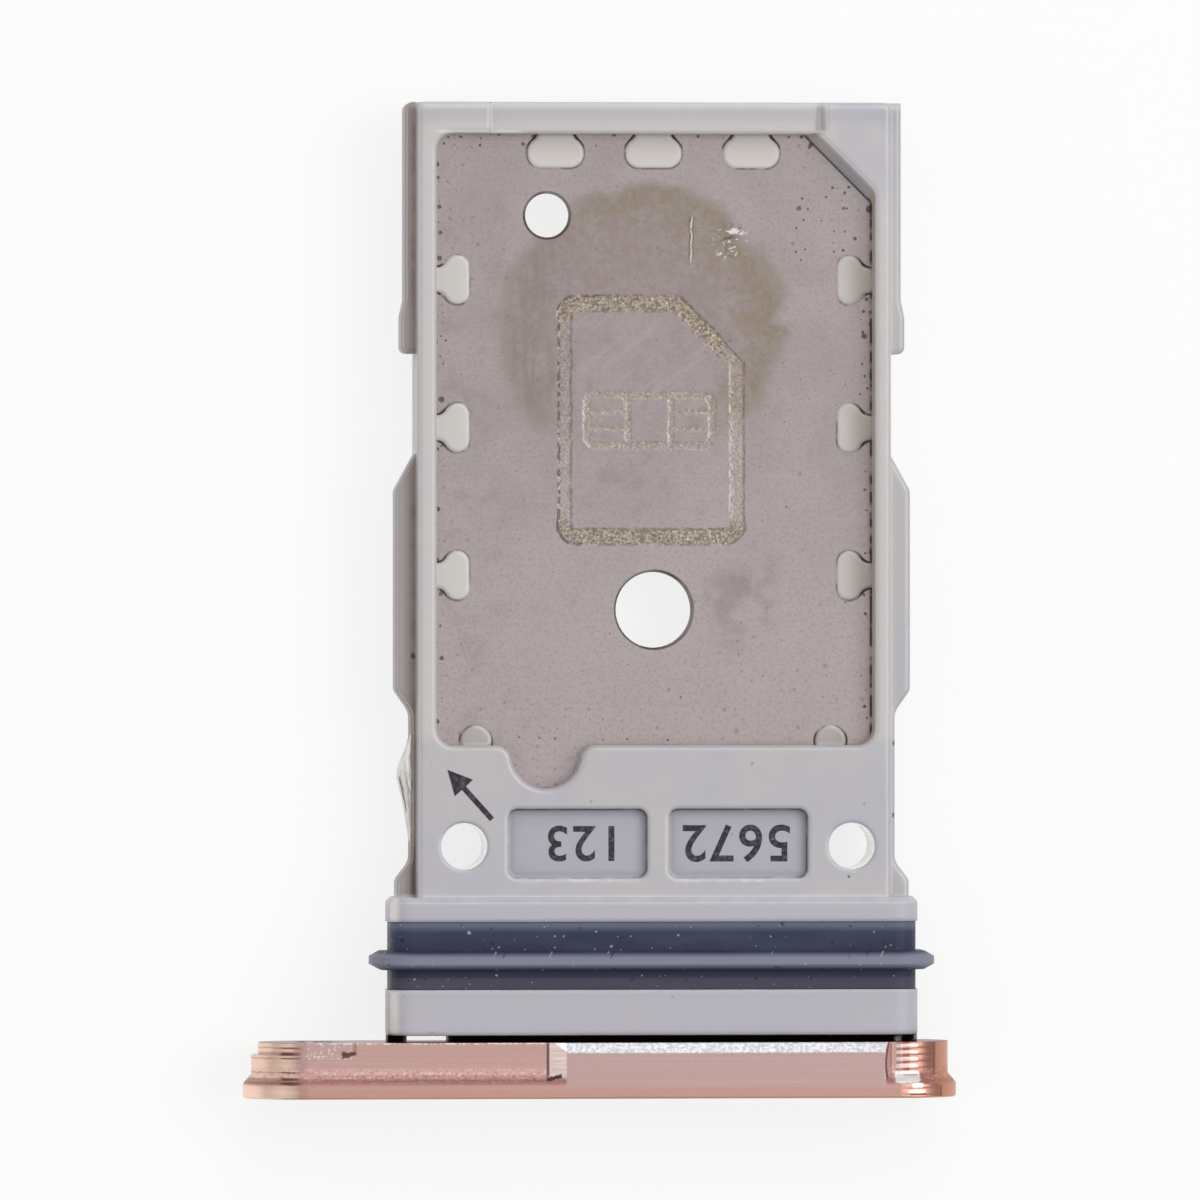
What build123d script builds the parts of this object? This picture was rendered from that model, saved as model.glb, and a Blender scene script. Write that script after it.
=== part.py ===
"""Two-sided nano card tray: a moulded frame round a steel divider, a sealed collar and an end cap.

Millimetres, +Z up. The tray lies flat with its insertion tip towards +Y and the end cap at -Y.
"""

import os

from build123d import *

os.makedirs("parts", exist_ok=True)

# The card that lies on each side of the divider, and the room round it
card_length = 12.30
card_width = 8.80
card_thickness = 0.67
card_cut_corner = 1.38
card_side_gap = 0.09
card_end_gap = 0.095
card_face_gap = 0.01
pocket_corner_radius = 0.35
pocket_cut_radius = 0.20
pocket_cut_draft = 12.0
pocket_rim_chamfer = 0.05

# Moulded frame round the card
side_wall = 0.36
tip_wall = 0.64
front_bar = 3.09
pocket_shift = 0.03
bar_shift = 0.07
frame_corner_radius = 0.16
frame_edge_chamfer = 0.06
tip_relief_width = 6.74
tip_relief_depth = 0.14
tip_relief_slope = 0.18

# Thumb notch in the edge of the pocket, and the two shallow windows in the front bar
notch_radius = 0.735
notch_inset = 0.15
notch_blend = 0.30
notch_x = -2.25
window_length = 2.87
window_width = 1.43
window_pitch = 3.29
window_radius = 0.20
window_depth = 0.20
window_from_pocket = 2.00

# Locating holes left by the pins of the mould
locator_radius = 0.475
locator_inset = 0.88
locator_from_pocket = 2.05

# Guide rails along both sides
rail_thickness = 0.90
rail_radius = 0.20
rail_blend_radius = 0.42
rail_end_radius = 0.14
rail_edge_chamfer = 0.05
tip_rail_reach = 0.235
tip_rail_length = 5.13
flare_reach = 0.31
flare_length = 0.75
flare_ramp = 0.35
latch_gap = 2.02
middle_rail_reach = 0.425
middle_rail_length = 4.08
middle_ramp_upper = 0.77
middle_ramp_lower = 0.45
waist_reach = 0.11
root_rail_reach = 0.40
root_rail_length = 0.35
root_ramp = 0.37

# Stub left where the moulding was broken off its gate, its torn edge in shares of length and reach
gate_length = 1.94
gate_reach = 0.235
gate_thickness = 0.50
gate_from_collar = 1.36
gate_tear = ((0.0, 0.0), (0.25, 0.45), (0.54, 1.0), (0.74, 0.55), (1.0, 0.0))

# Steel divider and the places where the plastic grips it
plate_thickness = 0.20
plate_embed = 0.10
plate_tail = 1.15
side_lock_head = 0.50
side_lock_height = 1.02
side_lock_radius = 0.24
side_lock_neck = 0.51
side_lock_reach = 0.72
side_lock_pitch = 3.02
side_lock_shift = 0.245
tip_lock_width = 1.17
tip_lock_depth = 0.62
tip_lock_radius = 0.29
tip_lock_neck = 0.71
tip_lock_reach = 0.70
tip_lock_pitch = 2.01
lock_mouth_radius = 0.20
root_lock_radius = 0.32
root_lock_pitch = 7.28
root_lock_inset = 0.09
push_hole_radius = 0.775
push_hole_from_pocket = 2.77
gauge_hole_radius = 0.45
gauge_hole_from_tip = 1.66
gauge_hole_x = -2.18

# Collar behind the frame, its seal groove and the seal
collar_width = 10.86
collar_height = 1.76
collar_length = 2.82
collar_corner_radius = 0.50
collar_front_chamfer = 0.10
collar_back_chamfer = 0.04
groove_width = 1.39
groove_depth = 0.30
groove_from_back = 0.93
seal_sink = 0.04
bead_width = 0.38
bead_height = 0.34
bead_shift = -0.10
bead_taper = 0.11
bead_taper_height = 0.20

# Tongue that snaps into the cap, and the feet that space the collar off it
collar_gap = 0.14
tongue_length = 9.24
tongue_shift = 0.43
tongue_thickness = 0.70
tongue_depth = 0.66
barb_height = 0.10
barb_depth = 0.34
barb_tip = 0.05
tongue_clearance = 0.03
foot_width = 0.39
foot_height = 0.58

# End cap
cap_height = 2.50
cap_depth = 1.14
eject_overhang = 2.94
plain_overhang = 0.83
lip_thickness = 0.29
lip_step = 0.17
lip_slope = 0.20
cap_face_chamfer = 0.03
pad_length = 6.51
pad_from_end = 1.58
pad_ramp_long = 0.40
pad_ramp_short = 0.16
pad_chamfer = 0.20
pad_chamfer_drop = 0.11
rebate_length = 2.24
rebate_width = 0.25
rebate_depth = 0.14
eject_hole_radius = 0.45
eject_hole_from_end = 1.49
eject_hole_chamfer = 0.06

# Sizes and places that follow from these
pocket_width = card_width + 2 * card_side_gap
pocket_length = card_length + 2 * card_end_gap
pocket_depth = card_thickness + card_face_gap
frame_width = pocket_width + 2 * side_wall
locator_pitch = frame_width - 2 * locator_inset
frame_thickness = plate_thickness + 2 * pocket_depth
cap_length = collar_width + eject_overhang + plain_overhang

# How near a corner lies to a height at which it is picked
near = 0.01

collar_y0 = cap_depth + collar_gap
collar_y1 = collar_y0 + collar_length
pocket_y0 = collar_y1 + front_bar
pocket_y1 = pocket_y0 + pocket_length
tip_y = pocket_y1 + tip_wall
groove_y = collar_y0 + groove_from_back
bead_y = groove_y + (groove_width - bead_width) / 2 + bead_shift

tray_x = (eject_overhang - plain_overhang) / 2
face_y = -tip_y / 2
mid_z = cap_height / 2

# Local frames: tray looks down on the outer forms, card on what is set out from the card, bar on the
# windows and holes of the front bar, across looks along the insertion axis from the cap's outer face,
# cap does so at the cap's middle
tray = Plane(origin=(tray_x, face_y, mid_z))
card = Plane(origin=(tray_x + pocket_shift, face_y, mid_z))
bar = Plane(origin=(tray_x + bar_shift, face_y, mid_z))
across = Plane(origin=(tray_x, face_y, mid_z), x_dir=(1, 0, 0), z_dir=(0, 1, 0))
cap = Plane(origin=(0, face_y, mid_z), x_dir=(1, 0, 0), z_dir=(0, 1, 0))
tongue_start = Plane(
    origin=(tray_x + tongue_shift - tongue_length / 2, face_y, mid_z),
    x_dir=(0, 1, 0),
    z_dir=(1, 0, 0),
)


# Notch in a side edge of the divider, its mouth at the origin and its head towards -X. Growing the
# outline and shrinking it back rounds the two inner corners of its neck.
with BuildSketch() as side_lock:
    with Locations((-side_lock_reach + side_lock_head / 2, 0)):
        RectangleRounded(side_lock_head, side_lock_height, side_lock_radius)
    with Locations((plate_embed, 0)):
        Rectangle(
            side_lock_reach + plate_embed - side_lock_head / 2,
            side_lock_neck,
            align=(Align.MAX, Align.CENTER),
        )
    offset(amount=lock_mouth_radius)
    offset(amount=-lock_mouth_radius)

# Notch in the tip edge of the divider, its mouth at the origin and its head towards -Y
with BuildSketch() as tip_lock:
    with Locations((0, -tip_lock_reach + tip_lock_depth / 2)):
        RectangleRounded(tip_lock_width, tip_lock_depth, tip_lock_radius)
    with Locations((0, plate_embed)):
        Rectangle(
            tip_lock_neck,
            tip_lock_reach + plate_embed - tip_lock_depth / 2,
            align=(Align.CENTER, Align.MAX),
        )
    offset(amount=lock_mouth_radius)
    offset(amount=-lock_mouth_radius)

# Floor plate: stamped divider with its grip notches and holes
with BuildPart() as floor_plate:
    with BuildSketch(card.offset(-plate_thickness / 2)) as plate_outline:
        with Locations((0, pocket_y0 - plate_tail)):
            Rectangle(
                pocket_width + 2 * plate_embed,
                plate_tail + pocket_length + plate_embed,
                align=(Align.CENTER, Align.MIN),
            )
        cut_vertex = plate_outline.vertices().sort_by(Axis.Y)[-2:].sort_by(Axis.X)[-1]
        chamfer(cut_vertex, card_cut_corner + plate_embed * (2 - 2**0.5))
        with Locations((pocket_width / 2, (pocket_y0 + pocket_y1) / 2 + side_lock_shift)):
            with GridLocations(1, side_lock_pitch, 1, 3):
                add(side_lock.sketch, mode=Mode.SUBTRACT)
        with Locations((-pocket_width / 2, (pocket_y0 + pocket_y1) / 2 + side_lock_shift)):
            with GridLocations(1, side_lock_pitch, 1, 3):
                add(side_lock.sketch, rotation=180, mode=Mode.SUBTRACT)
        with Locations((0, pocket_y1)):
            with GridLocations(tip_lock_pitch, 1, 3, 1):
                add(tip_lock.sketch, mode=Mode.SUBTRACT)
        with Locations((0, pocket_y0 + root_lock_inset)):
            with GridLocations(root_lock_pitch, 1, 2, 1):
                Circle(root_lock_radius, mode=Mode.SUBTRACT)
        with Locations((0, pocket_y0 + push_hole_from_pocket)):
            Circle(push_hole_radius, mode=Mode.SUBTRACT)
        with Locations((gauge_hole_x, pocket_y1 - gauge_hole_from_tip)):
            Circle(gauge_hole_radius, mode=Mode.SUBTRACT)
    extrude(amount=plate_thickness)
floor_plate.part.label = "floor_plate"

# Central block of the frame, its edges rounded before anything joins it
with BuildPart() as frame_block:
    with BuildSketch(tray.offset(-frame_thickness / 2)) as block_outline:
        with Locations((0, collar_y0 + collar_length / 2)):
            Rectangle(
                frame_width,
                tip_y - collar_y0 - collar_length / 2,
                align=(Align.CENTER, Align.MIN),
            )
        fillet(block_outline.vertices().group_by(Axis.Y)[-1], frame_corner_radius)
    extrude(amount=frame_thickness)
    block_faces = frame_block.faces().sort_by(Axis.Z)
    chamfer(block_faces[0].edges() + block_faces[-1].edges(), frame_edge_chamfer)

# Collar that carries the seal
with BuildPart() as collar:
    with BuildSketch(across.offset(collar_y0)):
        RectangleRounded(collar_width, collar_height, collar_corner_radius)
    extrude(amount=collar_length)
    collar_ends = collar.faces().sort_by(Axis.Y)
    chamfer(collar_ends[-1].edges(), collar_front_chamfer)
    chamfer(collar_ends[0].edges(), collar_back_chamfer)

# Barbed section of the tongue, drawn once for the tongue and once with room for the cap's slot
with BuildSketch() as tongue_section:
    with BuildLine():
        Polyline(
            (collar_y0 + groove_from_back / 2, 0),
            (collar_y0 + groove_from_back / 2, tongue_thickness / 2),
            (cap_depth - tongue_depth + barb_depth, tongue_thickness / 2),
            (cap_depth - tongue_depth + barb_depth, tongue_thickness / 2 + barb_height),
            (cap_depth - tongue_depth, tongue_thickness / 2 - barb_tip),
            (cap_depth - tongue_depth, 0),
        )
        mirror(about=Plane.XZ)
    make_face()

# Room for a card on each side of the divider, with the thumb notch and a cut corner whose wall
# leans outwards
with BuildPart() as card_rooms:
    with BuildSketch(card.offset(plate_thickness / 2)) as pocket:
        with Locations((0, pocket_y0)):
            Rectangle(pocket_width, pocket_length, align=(Align.CENTER, Align.MIN))
        pocket_tip = pocket.vertices().sort_by(Axis.Y)[-2:].sort_by(Axis.X)
        pocket_root = pocket.vertices().sort_by(Axis.Y)[:2]
        cut_corner = pocket_tip[-1]
        fillet(pocket_root + pocket_tip[:1], pocket_corner_radius)
        chamfer(pocket.vertices().sort_by_distance(cut_corner.center())[0], card_cut_corner)
        with Locations((notch_x, pocket_y0 - notch_inset)):
            Circle(notch_radius)
        notch_mouth = pocket.vertices().sort_by_distance((notch_x, pocket_y0))[:2]
        fillet(notch_mouth, notch_blend)
    extrude(amount=pocket_depth)
    towards_cut = Axis((0, 0, 0), (1, 1, 0))
    draft(
        card_rooms.faces().sort_by(towards_cut)[-1],
        card.offset(plate_thickness / 2),
        -pocket_cut_draft,
    )
    cut_wall = card_rooms.faces().sort_by(towards_cut)[-1]
    fillet(cut_wall.edges().filter_by(Plane.XY, reverse=True), pocket_cut_radius)
    mirror(about=card)

# Tray frame: one moulding of rails, block, collar, tongue and grips
frame_half = frame_width / 2
tip_rail_y = tip_y - tip_rail_length
latch_y = tip_rail_y - latch_gap
middle_y1 = latch_y - middle_ramp_upper
middle_y0 = middle_y1 - middle_rail_length
waist_y1 = middle_y0 - middle_ramp_lower
root_y = collar_y1 + root_rail_length
gate_x = -(frame_half + waist_reach)
gate_y = collar_y1 + gate_from_collar

with BuildPart() as rail_slab:
    with BuildSketch(tray.offset(-rail_thickness / 2)) as rails:
        with BuildLine():
            Polyline(
                (0, collar_y1 - collar_front_chamfer),
                (frame_half + root_rail_reach, collar_y1 - collar_front_chamfer),
                (frame_half + root_rail_reach, root_y),
                (frame_half + waist_reach, root_y + root_ramp),
                (frame_half + waist_reach, waist_y1),
                (frame_half + middle_rail_reach, middle_y0),
                (frame_half + middle_rail_reach, middle_y1),
                (frame_half, latch_y),
                (frame_half, tip_rail_y),
                (frame_half + flare_reach, tip_rail_y),
                (frame_half + flare_reach, tip_rail_y + flare_length),
                (frame_half + tip_rail_reach, tip_rail_y + flare_length + flare_ramp),
                (frame_half + tip_rail_reach, tip_y),
                (0, tip_y),
            )
            mirror(about=Plane.YZ)
        make_face()
        for ridge_y in (root_y, middle_y0, middle_y1):
            ridges = rails.vertices().filter_by_position(Axis.Y, ridge_y - near, ridge_y + near)
            fillet(ridges, rail_radius)
        for foot_y in (root_y + root_ramp, waist_y1):
            feet = rails.vertices().filter_by_position(Axis.Y, foot_y - near, foot_y + near)
            fillet(feet, rail_blend_radius)
        rail_ends = rails.vertices().filter_by_position(Axis.Y, tip_rail_y - near, tip_rail_y + near)
        fillet(rail_ends.sort_by(Axis.X)[::3], rail_end_radius)
        fillet(rails.vertices().group_by(Axis.Y)[-1].sort_by(Axis.X)[::2], frame_corner_radius)
    extrude(amount=rail_thickness)
    slab_faces = rail_slab.faces().sort_by(Axis.Z)
    chamfer(slab_faces[0].edges() + slab_faces[-1].edges(), rail_edge_chamfer)

with BuildPart() as tray_frame:
    add(rail_slab.part)
    add(frame_block.part)
    add(collar.part)

    # Stub of the gate on the left flank
    with BuildSketch(tray.offset(-gate_thickness / 2)):
        with BuildLine():
            Polyline(
                (gate_x + waist_reach, gate_y),
                *((gate_x - gate_reach * out, gate_y + gate_length * along) for along, out in gate_tear),
                (gate_x + waist_reach, gate_y + gate_length),
                close=True,
            )
        make_face()
    extrude(amount=gate_thickness)

    # Groove for the seal
    with BuildSketch(across.offset(groove_y)):
        Rectangle(collar_width + groove_depth, collar_height + groove_depth)
        RectangleRounded(
            collar_width - 2 * groove_depth,
            collar_height - 2 * groove_depth,
            collar_corner_radius - groove_depth,
            mode=Mode.SUBTRACT,
        )
    extrude(amount=groove_width, mode=Mode.SUBTRACT)

    # Tongue and spacing feet
    with BuildSketch(tongue_start):
        add(tongue_section.sketch)
    extrude(amount=tongue_length)
    with BuildSketch(across.offset(cap_depth)):
        with Locations((-(collar_width - foot_width) / 2, 0), ((collar_width - foot_width) / 2, 0)):
            Rectangle(foot_width, foot_height)
    extrude(amount=collar_gap + collar_back_chamfer)

    # A card pocket on each side of the divider, with its rim broken
    add(card_rooms.part, mode=Mode.SUBTRACT)
    for rim_z in (mid_z + frame_thickness / 2, mid_z - frame_thickness / 2):
        flat_faces = tray_frame.faces().filter_by(Axis.Z)
        broad_face = flat_faces.filter_by_position(Axis.Z, rim_z - near, rim_z + near)[0]
        chamfer(broad_face.inner_wires()[0].edges(), pocket_rim_chamfer)

    # Relief in the middle of the tip bar, on both faces
    with BuildSketch(across.offset(pocket_y1)):
        with BuildLine():
            Polyline(
                (-tip_relief_width / 2, frame_thickness / 2),
                (-tip_relief_width / 2, frame_thickness / 2 - tip_relief_depth),
                (tip_relief_width / 2, frame_thickness / 2 - tip_relief_depth),
                (tip_relief_width / 2 + tip_relief_slope, frame_thickness / 2),
                close=True,
            )
        make_face()
        mirror(about=Plane.XZ)
    extrude(amount=tip_wall, mode=Mode.SUBTRACT)

    # Windows in the front bar and the locating holes beside them
    with BuildSketch(bar.offset(frame_thickness / 2)):
        with Locations((0, pocket_y0 - window_from_pocket)):
            with GridLocations(window_pitch, 1, 2, 1):
                RectangleRounded(window_length, window_width, window_radius)
    extrude(amount=-window_depth, mode=Mode.SUBTRACT)
    with BuildSketch(bar.offset(-frame_thickness / 2)):
        with Locations((0, pocket_y0 - locator_from_pocket)):
            with GridLocations(locator_pitch, 1, 2, 1):
                Circle(locator_radius)
    extrude(amount=frame_thickness, mode=Mode.SUBTRACT)

    # Bed of the divider, and its holes kept clear
    add(floor_plate.part, mode=Mode.SUBTRACT)
    with BuildSketch(card.offset(-plate_thickness / 2)):
        with Locations((0, pocket_y0 + push_hole_from_pocket)):
            Circle(push_hole_radius)
        with Locations((gauge_hole_x, pocket_y1 - gauge_hole_from_tip)):
            Circle(gauge_hole_radius)
    extrude(amount=plate_thickness, mode=Mode.SUBTRACT)
tray_frame.part.label = "tray_frame"

# Seal ring: band in the groove with one sealing bead that tapers outwards
with BuildPart() as seal_ring:
    with BuildSketch(across.offset(bead_y)):
        RectangleRounded(
            collar_width + 2 * bead_height,
            collar_height + 2 * bead_height,
            collar_corner_radius + bead_height,
        )
    extrude(amount=bead_width)
    for bead_side in (0, -1):
        flank = seal_ring.faces().sort_by(Axis.Y)[bead_side]
        chamfer(flank.edges(), bead_taper_height, bead_taper, reference=flank)
    with BuildSketch(across.offset(groove_y)):
        RectangleRounded(
            collar_width - 2 * seal_sink,
            collar_height - 2 * seal_sink,
            collar_corner_radius - seal_sink,
        )
    extrude(amount=groove_width)
    with BuildSketch(across.offset(groove_y)):
        RectangleRounded(
            collar_width - 2 * groove_depth,
            collar_height - 2 * groove_depth,
            collar_corner_radius - groove_depth,
        )
    extrude(amount=groove_width, mode=Mode.SUBTRACT)
seal_ring.part.label = "seal_ring"

# Face cap: machined stadium with a lip, a raised pad on each broad side and the eject hole
with BuildPart() as face_cap:
    with BuildSketch(cap):
        SlotOverall(cap_length, cap_height)
    extrude(amount=lip_thickness)
    chamfer(face_cap.faces().sort_by(Axis.Y)[0].edges(), cap_face_chamfer)
    with BuildSketch(cap.offset(lip_thickness)):
        SlotOverall(cap_length, cap_height)
    with BuildSketch(cap.offset(lip_thickness + lip_slope)):
        SlotOverall(cap_length - 2 * lip_step, cap_height - 2 * lip_step)
    loft()
    with BuildSketch(cap.offset(lip_thickness + lip_slope)):
        SlotOverall(cap_length - 2 * lip_step, cap_height - 2 * lip_step)
    extrude(amount=cap_depth - lip_thickness - lip_slope)

    # Rebate round the eject end of the inner edge
    with BuildSketch(cap.offset(cap_depth - rebate_width)):
        with Locations((-cap_length / 2, 0)):
            Rectangle(rebate_length, cap_height, align=(Align.MIN, Align.CENTER))
        SlotOverall(
            cap_length - 2 * lip_step - 2 * rebate_depth,
            cap_height - 2 * lip_step - 2 * rebate_depth,
            mode=Mode.SUBTRACT,
        )
    extrude(amount=rebate_width, mode=Mode.SUBTRACT)

    # Raised pads flush with the lip, with ramped ends and a chamfered inner edge
    with BuildSketch(cap.offset(lip_thickness)):
        with BuildLine():
            Polyline(
                (cap_length / 2 - pad_from_end - pad_length - pad_ramp_long, 0),
                (cap_length / 2 - pad_from_end - pad_length - pad_ramp_long, cap_height / 2 - lip_step),
                (cap_length / 2 - pad_from_end - pad_length, cap_height / 2),
                (cap_length / 2 - pad_from_end, cap_height / 2),
                (cap_length / 2 - pad_from_end + pad_ramp_short, cap_height / 2 - lip_step),
                (cap_length / 2 - pad_from_end + pad_ramp_short, 0),
            )
            mirror(about=Plane.XZ)
        make_face()
    extrude(amount=cap_depth - lip_thickness)
    inner_edges = face_cap.faces().sort_by(Axis.Y)[-1].edges().filter_by(Axis.X)
    chamfer(
        inner_edges.sort_by(Axis.Z)[:1] + inner_edges.sort_by(Axis.Z)[-1:],
        pad_chamfer_drop,
        pad_chamfer,
        reference=face_cap.faces().sort_by(Axis.Y)[-1],
    )

    # Slot that the tongue snaps into
    with BuildSketch(tongue_start.offset(-tongue_clearance)):
        add(tongue_section.sketch)
        offset(amount=tongue_clearance, kind=Kind.INTERSECTION)
    extrude(amount=tongue_length + 2 * tongue_clearance, mode=Mode.SUBTRACT)

    # Eject hole
    with BuildSketch(cap):
        with Locations((-cap_length / 2 + eject_hole_from_end, 0)):
            Circle(eject_hole_radius)
    extrude(amount=cap_depth, mode=Mode.SUBTRACT)
    chamfer(face_cap.faces().sort_by(Axis.Y)[0].inner_wires()[0].edges(), eject_hole_chamfer)
face_cap.part.label = "face_cap"

export_step(tray_frame.part, "parts/tray_frame.step")
export_step(floor_plate.part, "parts/floor_plate.step")
export_step(seal_ring.part, "parts/seal_ring.step")
export_step(face_cap.part, "parts/face_cap.step")
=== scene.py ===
"""A nano card tray lying flat: steel divider, moulded frame, silicone seal and anodised end cap."""

import math
import random

import bmesh
import bpy
from mathutils import Matrix, Vector


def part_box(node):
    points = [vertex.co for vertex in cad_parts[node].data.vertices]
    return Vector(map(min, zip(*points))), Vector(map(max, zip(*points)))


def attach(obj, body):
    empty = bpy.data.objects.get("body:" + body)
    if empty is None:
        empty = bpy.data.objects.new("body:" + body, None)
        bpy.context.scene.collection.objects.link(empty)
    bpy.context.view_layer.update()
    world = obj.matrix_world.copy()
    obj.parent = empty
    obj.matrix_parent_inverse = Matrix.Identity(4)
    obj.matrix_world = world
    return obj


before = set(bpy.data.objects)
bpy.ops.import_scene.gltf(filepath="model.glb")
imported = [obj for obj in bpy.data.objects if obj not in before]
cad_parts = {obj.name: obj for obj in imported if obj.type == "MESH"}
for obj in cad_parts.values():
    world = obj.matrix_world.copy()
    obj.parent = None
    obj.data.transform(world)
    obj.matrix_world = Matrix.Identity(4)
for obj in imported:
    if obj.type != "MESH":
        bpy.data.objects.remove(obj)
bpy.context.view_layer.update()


# Divider plate: 0.2 mm stainless sheet, stamped with grip notches and two holes and laid in the mould
# before the plastic is shot. A card outline is etched into its upper face by laser, water has left a
# stain round it, and dirt has gathered along the walls of the pocket.


class Field:
    """A value that varies over a surface. Its arithmetic adds Math nodes to the tree it belongs to."""

    def __init__(self, wiring, socket):
        self.wiring = wiring
        self.socket = socket

    def math(self, operation, *values):
        return self.wiring.node("ShaderNodeMath", {"operation": operation}, *values)

    def __add__(self, other):
        return self.math("ADD", self, other)

    def __radd__(self, other):
        return self.math("ADD", other, self)

    def __sub__(self, other):
        return self.math("SUBTRACT", self, other)

    def __rsub__(self, other):
        return self.math("SUBTRACT", other, self)

    def __mul__(self, other):
        return self.math("MULTIPLY", self, other)

    def __rmul__(self, other):
        return self.math("MULTIPLY", other, self)

    def __truediv__(self, other):
        return self.math("DIVIDE", self, other)

    def __abs__(self):
        return self.math("ABSOLUTE", self)

    def min(self, other):
        return self.math("MINIMUM", self, other)

    def max(self, other):
        return self.math("MAXIMUM", self, other)

    def root(self):
        return self.math("SQRT", self)

    def wave(self):
        return self.math("SINE", self)

    def folded(self, pitch, copies):
        """The distance to the nearest of a row of copies on each side of the one at zero."""
        nearest = self.math("ROUND", (self / pitch).max(-copies).min(copies))
        return self - nearest * pitch

    def beside(self, output):
        """Another output of the same node."""
        return Field(self.wiring, self.socket.node.outputs[output])

    def rise(self, low, high, start=0.0, end=1.0):
        """The start value below low and the end value above high, with a smooth step between them."""
        limits = {"From Min": low, "From Max": high, "To Min": start, "To Max": end}
        return self.wiring.node("ShaderNodeMapRange", {"interpolation_type": "SMOOTHSTEP"}, self, **limits)

    def fall(self, low, high):
        return self.rise(low, high, 1.0, 0.0)

    def band(self, low, high, soft):
        """1 between two values, with soft ends."""
        return self.rise(low - soft, low) * self.fall(high, high + soft)


class Wiring:
    """A node tree that grows by one call for each node."""

    def __init__(self, tree):
        self.tree = tree

    def node(self, kind, settings, *values, output=0, **sockets):
        """Adds a node: its settings first, then its sockets by order or by name. Returns one output."""
        made = self.tree.nodes.new(kind)
        for name, value in settings.items():
            setattr(made, name, value)
        for key, value in [*enumerate(values), *sockets.items()]:
            self.feed(made.inputs[key], value)
        return Field(self, made.outputs[output])

    def feed(self, socket, value):
        if isinstance(value, Field):
            self.tree.links.new(value.socket, socket)
        elif socket.type == "RGBA":
            socket.default_value = (*value, 1.0)
        else:
            socket.default_value = value

    def split(self, vector):
        along = self.node("ShaderNodeSeparateXYZ", {}, vector)
        return along, along.beside("Y"), along.beside("Z")

    def mix(self, share, under, over):
        """A colour between two, by share."""
        colours = {"Factor": share, "A": under, "B": over}
        return self.node("ShaderNodeMix", {"data_type": "RGBA"}, output=2, **colours)


class Finish(Wiring):
    """A node material with one shader, and the place on the tray in millimetres as x, y and z."""

    def __init__(self, name):
        self.material = bpy.data.materials.new(name)
        self.material.use_nodes = True
        super().__init__(self.material.node_tree)
        self.shader = self.tree.nodes["Principled BSDF"]
        metres = self.node("ShaderNodeTexCoord", {}, output="Object")
        self.place = self.node("ShaderNodeVectorMath", {"operation": "SCALE"}, metres, Scale=1000.0)
        self.x, self.y, self.z = self.split(self.place)
        self.fuzz = self.noise(26.0, 2.0)

    def normal(self):
        return self.split(self.node("ShaderNodeNewGeometry", {}, output="Normal"))

    def stretched(self, sx, sy, sz):
        """The place with each axis scaled by itself, for streaks."""
        return self.node("ShaderNodeVectorMath", {"operation": "MULTIPLY"}, self.place, (sx, sy, sz))

    def noise(self, per_mm, detail=3.0, place=None, warp=0.0):
        sockets = {"Scale": per_mm, "Detail": detail, "Distortion": warp}
        return self.node("ShaderNodeTexNoise", {}, Vector=place or self.place, **sockets)

    def specks(self, per_mm, share, size):
        """Ragged specks in a share of the cells of a scatter, up to a size in cells."""
        flat = {"voronoi_dimensions": "2D"}
        slanted = self.node("ShaderNodeCombineXYZ", {}, self.x + self.z * 0.37, self.y + self.z * 0.5)
        away = self.node("ShaderNodeTexVoronoi", flat, Vector=slanted, Scale=per_mm)
        chance = away.beside("Color")
        radius = (chance - (0.75 - 0.5 * share)).max(0.0) * (4.0 * size)
        return (radius - away - (self.fuzz - 0.5) * 0.09).rise(0.0, 0.03)

    def rounded(self, edge_mm):
        """The direction of the surface as if its edges were rounded."""
        return self.node("ShaderNodeBevel", {"samples": 4}, Radius=edge_mm * 0.001)

    def bump(self, height, depth_mm, rounded=None):
        """Adds a height field to the direction of the surface, or to that of the rounded one."""
        under = {"Normal": rounded} if rounded else {}
        return self.node("ShaderNodeBump", {}, Distance=depth_mm * 0.001, Height=height, **under)

    def set(self, **sockets):
        for name, value in sockets.items():
            self.feed(self.shader.inputs[name.replace("_", " ")], value)

    def dress(self, node):
        """Puts the finish on a CAD node."""
        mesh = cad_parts[node].data
        mesh.materials.clear()
        mesh.materials.append(self.material)


def tone(*levels):
    """A colour in the eight-bit values of a screen, as the shader's linear ones."""
    return tuple(((level / 255 + 0.055) / 1.055) ** 2.4 for level in levels)


def box_gap(x, y, half_x, half_y, radius):
    """Distance from a rounded rectangle about zero, negative inside it."""
    over_x = abs(x) - (half_x - radius)
    over_y = abs(y) - (half_y - radius)
    clear_x = over_x.max(0.0)
    clear_y = over_y.max(0.0)
    return (clear_x * clear_x + clear_y * clear_y).root() + over_x.max(over_y).min(0.0) - radius


def ring_gap(x, y, radius):
    """Distance from a circle about zero, negative inside it."""
    return (x * x + y * y).root() - radius


def blend_gap(first, second, radius):
    """Distance from two shapes whose meeting is rounded."""
    near_first = (radius - first).max(0.0)
    near_second = (radius - second).max(0.0)
    return first.min(second).max(radius) - (near_first * near_first + near_second * near_second).root()


def span(node):
    """A node's lowest and highest corners in millimetres."""
    return [Vector(corner) * 1000 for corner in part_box(node)]


plate_low, plate_high = span("floor_plate")
plate_embed = 0.10
plate_tail = 1.15
pocket_x = (plate_low.x + plate_high.x) / 2
pocket_half = plate_high.x - plate_embed - pocket_x
pocket_low = plate_low.y + plate_tail
pocket_high = plate_high.y - plate_embed
pocket_cut = 1.38
lock_mouth = 0.20
side_lock_y = 3.52
side_lock_pitch = 3.02
tip_lock_pitch = 2.01
root_lock_x = 3.64
push_hole = (1.10, -0.20, 0.775)
gauge_hole = (-1.095, 7.86, 0.45)


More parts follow.
